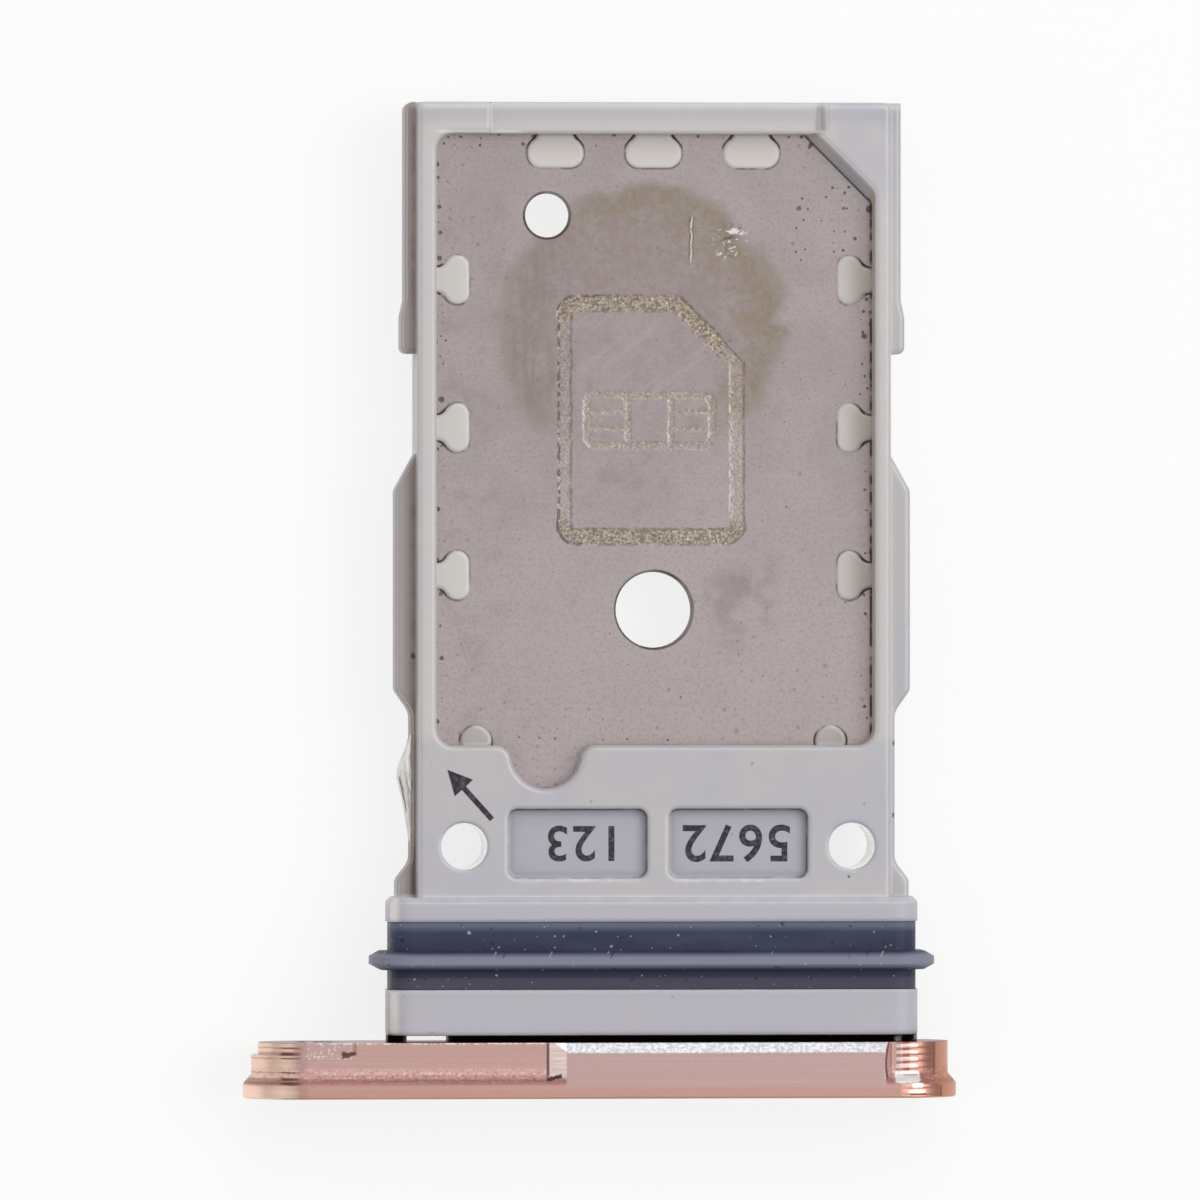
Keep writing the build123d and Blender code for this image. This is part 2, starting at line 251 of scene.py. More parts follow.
def lock_gap(finish):
    """Distance from the notches in the divider's edges, which the plastic fills."""
    x = finish.x - pocket_x
    side_y = (finish.y - side_lock_y).folded(side_lock_pitch, 1)
    side_head = box_gap(abs(x) - pocket_half + 0.47, side_y, 0.25, 0.51, 0.24)
    side_neck = box_gap(abs(x) - pocket_half, side_y, 0.40, 0.255, 0.01)
    tip_x = x.folded(tip_lock_pitch, 1)
    tip_head = box_gap(tip_x, finish.y - pocket_high + 0.39, 0.585, 0.31, 0.29)
    tip_neck = box_gap(tip_x, finish.y - pocket_high, 0.355, 0.35, 0.01)
    root = ring_gap(abs(x) - root_lock_x, finish.y - pocket_low - 0.09, 0.32)
    side = blend_gap(side_head, side_neck, lock_mouth)
    tip = blend_gap(tip_head, tip_neck, lock_mouth)
    return side.min(tip).min(root)


steel = Finish("etched_stainless")
steel_x = steel.x - pocket_x
cloud = steel.noise(0.7, 3.0)
streak = steel.noise(1.0, 4.0, steel.stretched(0.9, 20.0, 1.0))
fine = steel.noise(15.0, 2.0)
sheet = steel.mix(cloud.rise(0.35, 0.65), tone(192, 180, 179), tone(185, 174, 173))
sheet = steel.mix(steel.y.fall(-1.0, 3.5) * 0.5, sheet, tone(203, 191, 190))
sheet = steel.mix(streak.rise(0.5, 0.8) * 0.16, sheet, tone(214, 205, 202))
sheet = steel.mix(fine.rise(0.45, 0.70) * 0.26, sheet, tone(152, 141, 139))

# Water stain: a dim patch round the etching with a tan tide mark, strongest at its upper right
stain_middle = (0.78, 5.55)
stain_radius = 2.95
rust_middle = (2.25, 7.25)
spot_middle = (2.85, 0.1)
stain_x = (steel.x - stain_middle[0]) / stain_radius
stain_y = (steel.y - stain_middle[1]) / stain_radius
wander = steel.noise(0.8, 5.0, warp=0.5)
patchy = steel.noise(1.7, 5.0, warp=0.4)
mealy = steel.noise(6.5, 4.0, warp=0.6)
fleck = mealy.rise(0.42, 0.62)
reach = (stain_x * stain_x + stain_y * stain_y).root() + (wander - 0.5) * 0.38
reach = reach + (patchy - 0.5) * 0.16 + (mealy - 0.5) * 0.14
card_middle = (1.043, 3.678)
card_half = (1.775, 2.385)
card_radius = 0.26
card_cut = 2.055
etch_x = steel.x - card_middle[0]
etch_y = steel.y - card_middle[1]
cut_corner = (etch_x + etch_y) * math.sqrt(0.5) - card_cut
card = box_gap(etch_x, etch_y, *card_half, card_radius).max(cut_corner)
outside_card = card.rise(-0.5, 0.2) * 0.72 + 0.28
upper_face = steel.z.rise(plate_high.z - 0.11, plate_high.z - 0.09)
lower = steel.y.rise(2.6, 4.4) * upper_face
stained = reach.fall(0.84, 1.06) * lower * outside_card
stained = stained * (0.45 + 0.35 * patchy.rise(0.30, 0.68) + 0.35 * fleck)
sheet = steel.mix(stained, sheet, tone(163, 148, 147))
tide_side = (stain_x * 0.8 + stain_y * 0.5).rise(-0.6, 0.7) * 0.6 + 0.4
tide = reach.rise(0.62, 0.90) * reach.fall(0.92, 1.08) * tide_side * lower
rusty = ring_gap(steel.x - rust_middle[0], (steel.y - rust_middle[1]) * 0.8, 0.0) + (patchy - 0.5) * 1.2
tide = tide.max(rusty.fall(0.15, 0.75) * 0.75 * upper_face)
tide = tide * (0.45 + 0.3 * patchy.rise(0.30, 0.66) + 0.45 * fleck)
sheet = steel.mix(tide, sheet, tone(157, 143, 128))
spot = ring_gap(steel.x - spot_middle[0], (steel.y - spot_middle[1]) * 0.75, 0.0) + (wander - 0.5) * 1.3
sheet = steel.mix(spot.fall(0.3, 1.1) * patchy.rise(0.36, 0.64) * 0.5, sheet, tone(152, 140, 139))
haze = patchy.rise(0.5, 0.72) * steel_x.fall(-4.2, -2.0).max(card.fall(-0.6, -0.1))
sheet = steel.mix(haze * 0.35, sheet, tone(157, 145, 144))

# Smears down the stain's left side, and slanted scuffs inside the card
smear = steel.noise(1.0, 4.0, steel.stretched(5.0, 0.7, 1.0)).rise(0.48, 0.66)
smear = smear * stain_x.fall(-0.7, -0.2) * reach.fall(0.8, 1.1) * lower
sheet = steel.mix(smear * 0.4, sheet, tone(148, 135, 134))
along_scuff = steel.x * 0.5 + steel.y * 0.35
across_scuff = steel.y * 5.6 - steel.x * 4.0
scuff_place = steel.node("ShaderNodeCombineXYZ", {}, along_scuff, across_scuff)
scuff = steel.noise(1.0, 4.0, scuff_place).rise(0.5, 0.7)
sheet = steel.mix(scuff * card.fall(-0.5, 0.1) * 0.28 * upper_face, sheet, tone(203, 193, 191))

# Etching: a card with one cut corner and its contact pads, burnt to a rough tan grain
sides = abs(etch_x).rise(1.45, 1.6) * abs(etch_y).fall(1.95, 2.2)
card_line = abs(card) - (0.165 - 0.035 * sides)
pad_shift = 0.03
pad_half_x, pad_half_y = 1.28, 0.52
pad_bar = 0.44
pad_x = abs(etch_x + pad_shift)
pad_line = abs(box_gap(etch_x + pad_shift, etch_y, pad_half_x, pad_half_y, 0.18)) - 0.08
bar_line = (abs(pad_x - pad_bar) - 0.06).max(abs(etch_y) - pad_half_y)
rung_line = (abs(abs(etch_y) - 0.175) - 0.05).max(pad_bar - pad_x).max(pad_x - pad_half_x)
pads = pad_line.min(bar_line).min(rung_line)
crumb = steel.noise(10.0, 2.0)
ragged = (crumb - 0.5) * 0.09
etched = (card_line.min(pads) + ragged).fall(-0.045, 0.035) * upper_face
grain = steel.noise(21.0, 2.0)
burnt = steel.mix(grain.rise(0.38, 0.62), tone(128, 115, 103), tone(186, 172, 155))
burnt = steel.mix(steel.specks(12.0, 0.6, 0.24) * 0.5, burnt, tone(226, 218, 206))
burnt = steel.mix(steel.noise(11.0, 2.0).rise(0.55, 0.66) * 0.65, burnt, tone(106, 93, 85))
rim = abs(card_line + ragged).fall(0.0, 0.03) * mealy.rise(0.40, 0.56) * upper_face
faint = (pads + ragged).fall(-0.03, 0.03).max(sides)
sheet = steel.mix(etched * (0.86 - 0.36 * faint - 0.12 * sides), sheet, burnt)
sheet = steel.mix(rim * 0.4, sheet, tone(98, 87, 81))
dotted = steel.noise(6.0, 3.0).rise(0.42, 0.56)
outer_left = card.rise(0.0, 0.1) * etch_x.fall(-1.4, -0.8)
score = card_line.band(-0.03, 0.015, 0.02) * dotted * (outer_left * 0.6 + 0.22) * upper_face
sheet = steel.mix(score, sheet, tone(96, 86, 81))
# A painted highlight along the inner edge of the right-hand stroke, where the groove's wall faces the lamp
etch_edge_highlight = abs(etch_x - 1.61).fall(0.008, 0.03) * etch_y.band(-1.9, 1.0, 0.2) * dotted * upper_face
sheet = steel.mix(etch_edge_highlight * 0.45, sheet, (1.0, 0.98, 0.95))

# Scratches beside the tide mark: one broken line and a few short strokes, each bright on one side
scratch_x = 1.86
scratch_low, scratch_high = 6.86, 7.80
strokes_middle = (2.68, 7.32)
waver = steel.noise(4.5, 2.0)
line_x = abs(steel.x - scratch_x - (waver - 0.5) * 0.14)
line = steel.y.band(scratch_low, scratch_high, 0.05) * waver.rise(0.40, 0.54, 0.25, 1.0) * upper_face
strokes = ring_gap(steel.x - strokes_middle[0], steel.y - strokes_middle[1], 0.0)
patch = strokes.fall(0.26, 0.46) * upper_face
rub = steel.noise(4.6, 3.0, steel.stretched(1.0, 1.3, 1.0), warp=1.6)
scored = (patch * rub.fall(0.36, 0.42)).max(line * line_x.band(0.02, 0.045, 0.015) * 0.8)
sheet = steel.mix(scored * 0.65, sheet, tone(104, 92, 88))
scratch = (patch * rub.rise(0.60, 0.64)).max(line * line_x.fall(0.010, 0.028) * 0.7)
sheet = steel.mix(scratch * 0.95, sheet, tone(246, 242, 236))

# Dirt: specks along the walls, a dark line in the right-hand corner and round each notch; and painted shade
# in a ring round each hole
right_gap = pocket_half - steel_x
tip_gap = pocket_high - steel.y
cut_gap = (right_gap + tip_gap - pocket_cut) * math.sqrt(0.5)
edge = (pocket_half - abs(steel_x)).min(steel.y - pocket_low).min(tip_gap).min(cut_gap)
upper_right = ring_gap(steel.x - 4.8, steel.y - 7.8, 0.0).fall(0.7, 1.7)
crowd = edge.fall(0.04, 0.40).max(upper_right * 0.72)
crowd = crowd * steel.y.rise(-3.1, -2.6)
black = steel.specks(2.3, crowd * 0.80, 0.085).max(steel.specks(4.7, crowd * 0.86, 0.11))
sheet = steel.mix(black * 0.8, sheet, tone(76, 64, 60))
dusty = steel.y.fall(-2.9, -0.6).max(steel_x.fall(-4.3, -3.2)) * 0.38 + 0.12
brown = steel.specks(2.6, dusty, 0.085).max(steel.specks(5.2, dusty, 0.11)).max(steel.specks(1.5, 0.4, 0.06))
sheet = steel.mix(brown * 0.42, sheet, tone(138, 122, 116))
dash = steel.noise(1.0, 3.0, steel.stretched(0.2, 3.4, 0.2)).rise(0.40, 0.54)
seam = right_gap.fall(0.02, 0.06) * dash * steel.y.band(-2.7, 8.1, 0.1)
seam = seam.max(cut_gap.fall(0.015, 0.05) * 0.85)
push_gap, gauge_gap = (
    ring_gap(steel.x - hole_x, steel.y - hole_y, radius) for hole_x, hole_y, radius in (push_hole, gauge_hole)
)
# Painted shade: a dark ring round each hole, standing in for the shading of the steel's rim
hole_rim_shade = push_gap.min(gauge_gap).fall(0.035, 0.065) * patchy.rise(0.4, 0.6, 0.7, 0.95)
notch = lock_gap(steel)
broken = steel.noise(2.6, 3.0)
gaps = notch.fall(0.010, 0.035) * (broken.rise(0.42, 0.56) * 0.5 + 0.15)
mouths = notch.fall(0.02, 0.05) * edge.fall(0.20, 0.40) * broken.rise(0.30, 0.46)
# Real dirt and dark joints, together with the painted shade round the holes
dirt_and_shade = seam.max(hole_rim_shade).max(gaps).max(mouths)
sheet = steel.mix(dirt_and_shade, sheet, tone(66, 56, 52))

relief = fine * 0.25 + streak * 0.25 - etched * (0.4 + 0.7 * grain)
steel.set(
    Base_Color=sheet,
    Metallic=1.0 - 0.8 * dirt_and_shade.max(black),
    Roughness=0.27 + 0.16 * etched + 0.08 * stained + 0.3 * dirt_and_shade,
    Normal=steel.bump(relief, 0.007),
)
steel.dress("floor_plate")

# Tray frame: one plastic moulding shot round the divider, in a light lavender grey. The gate was broken
# off its left flank and left torn, and the walls of the pocket have yellowed a little with handling.

frame_low, frame_high = span("tray_frame")
cap_low, cap_high = span("face_cap")
middle = cap_high.z / 2
frame_top = middle + 0.78
rail_top = middle + 0.45
plate_top = plate_high.z
tray_x = (frame_low.x + frame_high.x) / 2
frame_half = 4.85
bar_x = tray_x + 0.07
window_y = pocket_low - 2.00
window_floor = frame_top - 0.20
window_x = 1.645
window_half = (1.435, 0.715)
locator_y = pocket_low - 2.05
locator_x = 3.97
locator_radius = 0.475
block_x, block_y = 4.46, 9.86
collar_front = -6.06
collar_back = cap_high.y + 0.14

plastic = Finish("lavender_plastic")
plastic_x = plastic.x - pocket_x
face_x, face_y, face_z = plastic.normal()
upright = (1.0 - abs(face_z)).rise(0.5, 0.9)
cloud = plastic.noise(0.55, 3.0)
mottle = plastic.noise(2.6, 4.0)
skin = plastic.noise(24.0, 2.0)
body = plastic.mix(cloud.rise(0.38, 0.62), tone(187, 185, 192), tone(192, 188, 190))
body = plastic.mix(mottle.rise(0.5, 0.75) * 0.2, body, tone(177, 175, 182))
soft = plastic.rounded(0.14)
soft_x, soft_y = plastic.split(soft)[:2]
# How far each rounded edge leans towards the lamps, for the painted highlights and shade on the rims
lean_to_lamps = (soft_x - face_x) * 0.8 + (soft_y - face_y) * 0.6

# The thin walls round the pocket are painted paler, a painted highlight on their rounded tops, and the
# collar a little bluer
in_pocket = box_gap(
    plastic_x,
    plastic.y - (pocket_low + pocket_high) / 2,
    pocket_half,
    (pocket_high - pocket_low) / 2,
    0.35,
)
wall_top_highlight = in_pocket.fall(0.2, 0.6) * plastic.y.rise(pocket_low - 0.05, pocket_low + 0.3)
body = plastic.mix(wall_top_highlight * 0.8, body, tone(204, 200, 197))
on_collar = plastic.y.fall(collar_front - 0.05, collar_front)
body = plastic.mix(on_collar * 0.6, body, tone(184, 182, 193))
tip_flow = plastic.noise(1.0, 3.0, plastic.stretched(0.35, 5.0, 1.0))
tip_groove = abs(plastic.y - pocket_high - 0.36).fall(0.04, 0.22) * (tip_flow * 0.5 + 0.5)
body = plastic.mix(tip_groove * 0.55, body, tone(181, 178, 182))
# A painted highlight along the rounded outer edge of the tip bar, which faces the tip lamp
tip_edge_highlight = plastic.y.rise(frame_high.y - 0.20, frame_high.y - 0.06) * face_z.rise(0.3, 0.7)
body = plastic.mix(tip_edge_highlight * 0.6, body, tone(222, 220, 220))

# A painted highlight along the pocket's edge at the tip bar, left of its middle
tip_rim_highlight = plastic.y.band(pocket_high + 0.01, pocket_high + 0.05, 0.02)
tip_rim_highlight = tip_rim_highlight * plastic_x.band(0.2 - pocket_half, -2.9, 0.3)
body = plastic.mix(tip_rim_highlight * face_z.rise(0.3, 0.7) * 0.7, body, tone(240, 238, 236))

# The block over the cut corner lies lower than the tip bar, with painted shade along the step at its
# left, and is a little bluer
step_gap = abs(plastic.x - block_x) + (plastic.y - block_y) * 0.1
block_step_shade = step_gap.fall(0.03, 0.13) * plastic.y.band(9.62, 10.05, 0.06)
body = plastic.mix(block_step_shade * 0.55, body, tone(146, 142, 146))
corner_block = plastic.x.rise(4.6, 4.9) * plastic.y.rise(8.0, 8.6) * cloud.rise(0.3, 0.6)
body = plastic.mix(corner_block * 0.5, body, tone(180, 179, 192))

# Plugs in the notches, paler where the plastic is thin, beige and painted darker towards the right-hand wall,
# partly yellowed and partly painted shade of that wall, painted paler at the tip to offset the shadow of the
# tip bar, and dull at the two round ones beside the front bar
low_face = plastic.z.fall(plate_top + 0.02, plate_top + 0.06) * in_pocket.fall(-0.01, 0.02)
body = plastic.mix(low_face, body, tone(213, 210, 206))
# Painted shade from the right-hand wall, mixed with its yellowing
body = plastic.mix(low_face * plastic_x.rise(3.4, 4.6) * 0.6, body, tone(180, 170, 158))
# Painted light: the plugs at the tip made paler to offset the shadow of the tip bar
body = plastic.mix(low_face * plastic.y.rise(8.4, 8.7) * 0.8, body, tone(222, 215, 211))
body = plastic.mix(low_face * plastic.y.fall(-2.4, -2.2) * 0.9, body, tone(182, 176, 175))

# Yellowed walls and dirt in the corners of the pocket
at_wall = abs(in_pocket).fall(0.05, 0.09) * plastic.z.rise(plate_top - 0.02, plate_top + 0.02)
wall = upright * at_wall
body = plastic.mix(wall * (0.35 + 0.5 * plastic_x.rise(2.0, 4.4)), body, tone(196, 178, 160))
dash = plastic.noise(1.0, 3.0, plastic.stretched(0.2, 3.4, 0.2)).rise(0.40, 0.54)
wall_foot = wall * plastic.z.fall(plate_top + 0.02, plate_top + 0.14) * plastic_x.rise(2.8, 3.3)
body = plastic.mix(wall_foot * dash.max(plastic.y.rise(8.0, 8.2)) * 0.8, body, tone(66, 56, 50))
broken = plastic.noise(2.6, 3.0)
outline = abs(lock_gap(plastic)).fall(0.008, 0.03) * low_face
body = plastic.mix(outline * (broken.rise(0.42, 0.56) * 0.6 + 0.2), body, tone(96, 86, 82))

# Windows, whose floors are dull, with painted shade round their edges and bright marks along the rim below,
# partly rubbed and partly a painted highlight
window = box_gap(abs(plastic.x - bar_x) - window_x, plastic.y - window_y, *window_half, 0.20)
sunk = window.fall(-0.01, 0.01) * plastic.z.fall(frame_top - 0.1, frame_top - 0.02)
floor_tone = plastic.mix(mottle, tone(172, 171, 180), tone(181, 179, 187))
body = plastic.mix(sunk, body, floor_tone)
# Painted shade over the floor near the walls
window_wall_shade = window.rise(-0.22, -0.02) * sunk
body = plastic.mix(window_wall_shade * 0.5, body, tone(148, 146, 156))
# Painted shade, darkest where the floor meets the walls
window_corner_shade = sunk * abs(face_z).rise(0.4, 0.8) * window.rise(-0.06, -0.01) * (mottle.rise(0.3, 0.55) * 0.6 + 0.3)
body = plastic.mix(window_corner_shade, body, tone(84, 78, 84))
rub = plastic.noise(3.6, 3.0)
# Partly rubbed, partly a painted highlight on the lower rim, which faces the tip lamp
rim_rub_and_highlight = window.band(0.0, 0.05, 0.03) * plastic.y.fall(window_y - 0.6, window_y - 0.5) * rub.rise(0.46, 0.6)
body = plastic.mix(rim_rub_and_highlight * 0.5, body, tone(232, 230, 232))

# Locating holes: smooth walls left by the pins, painted near white as if lit by the white table below
locator = ring_gap(abs(plastic.x - bar_x) - locator_x, plastic.y - locator_y, locator_radius)
floor_lit_pin_wall = upright * locator.fall(0.01, 0.03)
body = plastic.mix(floor_lit_pin_wall, body, tone(244, 243, 238))

# Flanks: the left one is brown, with painted shade deepening towards the wall of the frame and darkest at
# its foot
wall_x = tray_x - frame_half
left = plastic.x.fall(wall_x - 0.04, wall_x) * plastic.y.rise(collar_front - 0.04, collar_front + 0.06)
near_wall = plastic.x.rise(wall_x - 0.42, wall_x - 0.02)
brown_and_shade = 0.35 + 0.5 * near_wall + 0.12 * plastic.y.fall(4.5, 5.5)
body = plastic.mix(left * brown_and_shade, body, tone(142, 127, 117))
wall_foot_shade = left * near_wall.rise(0.75, 1.0) * plastic.y.fall(-5.3, -4.6).max(mottle.rise(0.45, 0.7) * 0.4)
body = plastic.mix(wall_foot_shade * 0.8, body, tone(74, 64, 60))

# Collar: a bright line along its front edge, partly rubbed and partly a painted highlight, a painted
# highlight over its left end, brown specks there, and black shade behind it
lip = plastic.y.band(collar_front - 0.10, collar_front + 0.01, 0.04) * (0.5 + 0.5 * rub.rise(0.45, 0.66))
body = plastic.mix(lip * 0.35, body, tone(222, 220, 224))
# A painted highlight over the collar's left end
collar_end_highlight = plastic.x.fall(frame_low.x + 0.10, frame_low.x + 0.26) * on_collar * face_z.rise(0.1, 0.5)
body = plastic.mix(collar_end_highlight * 0.9, body, tone(242, 237, 229))
pits = plastic.noise(7.0, 3.0).rise(0.60, 0.68) * plastic.x.fall(frame_low.x + 0.01, frame_low.x + 0.06)
pits = pits * plastic.z.rise(middle + 0.45, middle + 0.75)
body = plastic.mix(pits * on_collar * 0.6, body, tone(104, 92, 84))
behind = plastic.y.fall(collar_back - 0.005, collar_back + 0.015)
body = plastic.mix(behind, body, tone(13, 9, 9))

# Stray specks
dots = (
    (-3.865, -1.139, 0.05),
    (-4.07, 9.895, 0.025),
    (5.99, -2.93, 0.035),
    (5.98, -4.40, 0.035),
    (5.03, -5.65, 0.022),
)
speck = plastic.specks(1.3, 0.25, 0.045) * 0.4
for dot_x, dot_y, dot_radius in dots:
    dot = ring_gap(plastic.x - dot_x, (plastic.y - dot_y) * 0.7, dot_radius) + (skin - 0.5) * 0.05
    speck = speck.max(dot.fall(-0.02, 0.015))
body = plastic.mix(speck, body, tone(70, 62, 62))

# Rounded rims: a painted highlight on the edges that face the lamps, and painted shade on those that face
# away
body = plastic.mix(lean_to_lamps.rise(0.02, 0.40) * 0.75, body, tone(240, 238, 238))
shaded = lean_to_lamps.fall(-0.45, -0.03) * face_z.rise(0.3, 0.7) * (0.3 - 0.25 * collar_end_highlight)
body = plastic.mix(shaded, body, tone(140, 134, 136))

plastic.set(
    Base_Color=body,
    Metallic=behind,
    Roughness=(0.36 + 0.14 * mottle + 0.15 * sunk) * (1.0 - 0.75 * floor_lit_pin_wall),
    Normal=plastic.bump(skin * 0.4 + mottle * 0.8, 0.005, soft),
)
plastic.dress("tray_frame")


def link(name, mesh, finish):
    """Adds a mesh as a piece that rides on the tray."""
    mesh.materials.clear()
    mesh.materials.append(finish.material)
    made = bpy.data.objects.new(name, mesh)
    bpy.context.scene.collection.objects.link(made)
    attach(made, "root")


# Printed marks: dark ink, plain numbers in the two windows and an arrow beside them. They are printed the
# other way up, so that they read with the cap held away from the reader.

ink = Finish("dark_ink")
blot = ink.noise(13.0, 3.0)
ink.set(
    Base_Color=ink.mix(blot.rise(0.42, 0.66), tone(28, 23, 32), tone(74, 68, 82)),
    Roughness=0.6,
    Alpha=blot.fall(0.64, 0.78),
)
ink_film = 0.006


def printed(name, words, width, x, y, z):
    """A word of ink, as wide as given in millimetres, its middle at x and y."""
    curve = bpy.data.curves.new(name, "FONT")
    curve.body = words
    curve.size = 1.0
    curve.extrude = 0.5
    curve.offset = 0.012
    curve.space_character = 1.1
    letters = bpy.data.objects.new(name, curve)
    bpy.context.scene.collection.objects.link(letters)
    bpy.context.view_layer.update()
    mesh = bpy.data.meshes.new_from_object(letters.evaluated_get(bpy.context.evaluated_depsgraph_get()))
    bpy.data.objects.remove(letters)
    bpy.data.curves.remove(curve)
    low = Vector(min(vertex.co[axis] for vertex in mesh.vertices) for axis in range(3))
    high = Vector(max(vertex.co[axis] for vertex in mesh.vertices) for axis in range(3))
    fit = width / (high.x - low.x)
    mesh.transform(Matrix.Translation(-(low + high) / 2))
    mesh.transform(Matrix.Diagonal((fit, fit, ink_film, 1.0)))
    mesh.transform(Matrix.Translation((x, y, z)) @ Matrix.Rotation(math.pi, 4, "Z"))
    mesh.transform(Matrix.Scale(0.001, 4))
    link(name, mesh, ink)


printed("left_window_numbers", "123", 1.36, bar_x - 1.56, window_y, window_floor)
printed("right_window_numbers", "5672", 2.20, bar_x + 1.62, window_y, window_floor)

arrow = bmesh.new()
tail = ((-0.66, -0.055), (0.2, -0.055), (0.2, 0.055), (-0.66, 0.055))
shaft = [arrow.verts.new((x, y, 0)) for x, y in tail]
head = [arrow.verts.new((x, y, 0)) for x, y in ((0.2, -0.25), (0.7, 0), (0.2, 0.25))]
arrow.faces.new(shaft)
arrow.faces.new(head)
sheets = bmesh.ops.extrude_face_region(arrow, geom=arrow.faces[:])
raised = [part for part in sheets["geom"] if isinstance(part, bmesh.types.BMVert)]
bmesh.ops.translate(arrow, verts=raised, vec=(0, 0, ink_film))
bmesh.ops.recalc_face_normals(arrow, faces=arrow.faces[:])
arrow_place = Matrix.Translation((-2.72, -3.98, frame_top))
arrow_turn = Matrix.Rotation(math.radians(132), 4, "Z")
to_tray = Matrix.Scale(0.001, 4) @ (arrow_place @ arrow_turn)
bmesh.ops.transform(arrow, matrix=to_tray, verts=arrow.verts)
arrow_mesh = bpy.data.meshes.new("corner_arrow")
arrow.to_mesh(arrow_mesh)
arrow.free()
link("corner_arrow", arrow_mesh, ink)

# Torn gate: a whitened lump where the runner was snapped off the left flank, with a curl of peeled
# plastic along it.

stub = Finish("torn_plastic")
fibre = stub.noise(7.0, 4.0, stub.stretched(1.6, 0.7, 1.0))
stub.set(
    Base_Color=stub.mix(fibre.rise(0.32, 0.62), tone(224, 220, 212), tone(248, 246, 241)),
    Roughness=0.55,
    Normal=stub.bump(fibre, 0.02),
)

random.seed(7)
stub_x = wall_x - 0.10
tear = (
    (-4.95, 0.00),
    (-4.46, 0.10),
    (-3.98, 0.18),
    (-3.64, 0.28),
    (-3.45, 0.27),
    (-3.25, 0.19),
    (-3.01, 0.09),
    (-2.77, 0.00),
)


def torn_out(y):
    """How far the torn edge stands out from the flank at a place along it."""
    for (low, start), (high, end) in zip(tear, tear[1:]):
        if low <= y <= high:
            return start + (end - start) * (y - low) / (high - low)
    return 0.0


lump = bmesh.new()
bmesh.ops.create_cube(lump, size=1.0)
bmesh.ops.subdivide_edges(lump, edges=lump.edges[:], cuts=19, use_grid_fill=True)
for vertex in lump.verts:
    outward = 0.5 - vertex.co.x
    y = tear[0][0] + (vertex.co.y + 0.5) * (tear[-1][0] - tear[0][0])
    out = torn_out(y) * (1.0 - 1.8 * vertex.co.z**2)
    rough = random.uniform(-0.014, 0.014) if outward > 0.05 else 0.0
    z = middle + vertex.co.z * (0.56 + 1.0 * torn_out(y)) * (1.0 - 0.12 * outward)
    vertex.co = Vector((stub_x + 0.03 - outward * (out + 0.03) + rough, y + rough, z + rough))
axes = {"use_axis_x": True, "use_axis_y": True, "use_axis_z": True}
bmesh.ops.smooth_vert(lump, verts=lump.verts[:], factor=0.4, **axes)
bmesh.ops.scale(lump, vec=(0.001, 0.001, 0.001), verts=lump.verts)
lump_mesh = bpy.data.meshes.new("torn_gate")
lump.to_mesh(lump_mesh)
lump.free()
lump_mesh.shade_smooth()
link("torn_gate", lump_mesh, stub)

curl_start = -2.74
curl_length = 1.15
curl = bmesh.new()
bmesh.ops.create_grid(curl, x_segments=3, y_segments=18, size=0.5)
for vertex in curl.verts:
    along = vertex.co.y + 0.5
    bend = math.sin(math.pi * along)
    x = stub_x - 0.02 - 0.07 * bend + vertex.co.x * (0.03 + 0.05 * bend)
    y = curl_start - curl_length * along
    z = rail_top - 0.02 + 0.07 * bend + 0.03 * math.sin(7 * along) + abs(vertex.co.x) * 0.05
    vertex.co = Vector((x, y, z))
bmesh.ops.solidify(curl, geom=curl.faces[:], thickness=0.03)
bmesh.ops.scale(curl, vec=(0.001, 0.001, 0.001), verts=curl.verts)
bmesh.ops.recalc_face_normals(curl, faces=curl.faces[:])
curl_mesh = bpy.data.meshes.new("peeled_curl")
curl.to_mesh(curl_mesh)
curl.free()
curl_mesh.shade_smooth()
link("peeled_curl", curl_mesh, stub)

# Seal ring: a dark slate silicone band with one bead, stretched into the groove of the collar. Its upper
# edge and the bead's crest carry a painted highlight and the band just below the bead a painted shadow;
# lint and dust stick to it.

seal_low, seal_high = span("seal_ring")
bead_y = (seal_low.y + seal_high.y) / 2 - 0.10

silicone = Finish("slate_silicone")
bloom = silicone.noise(1.1, 4.0, silicone.stretched(0.5, 2.0, 1.0))
satin = silicone.noise(22.0, 2.0)
rubber = silicone.mix(bloom.rise(0.35, 0.7), tone(46, 51, 76), tone(58, 63, 88))
# A painted highlight along the upper edge, which faces the tip lamp
upper_edge_highlight = silicone.y.rise(seal_high.y - 0.24, seal_high.y - 0.04)
rubber = silicone.mix(upper_edge_highlight * 0.6, rubber, tone(124, 128, 147))
below = silicone.y.fall(bead_y - 0.40, bead_y - 0.24)
rubber = silicone.mix(below * 0.6, rubber, tone(86, 78, 94))
# A painted shadow cast by the bead on the band below it
bead_shadow = silicone.y.band(bead_y - 0.32, bead_y - 0.18, 0.06)
rubber = silicone.mix(bead_shadow * 0.6, rubber, tone(34, 38, 60))
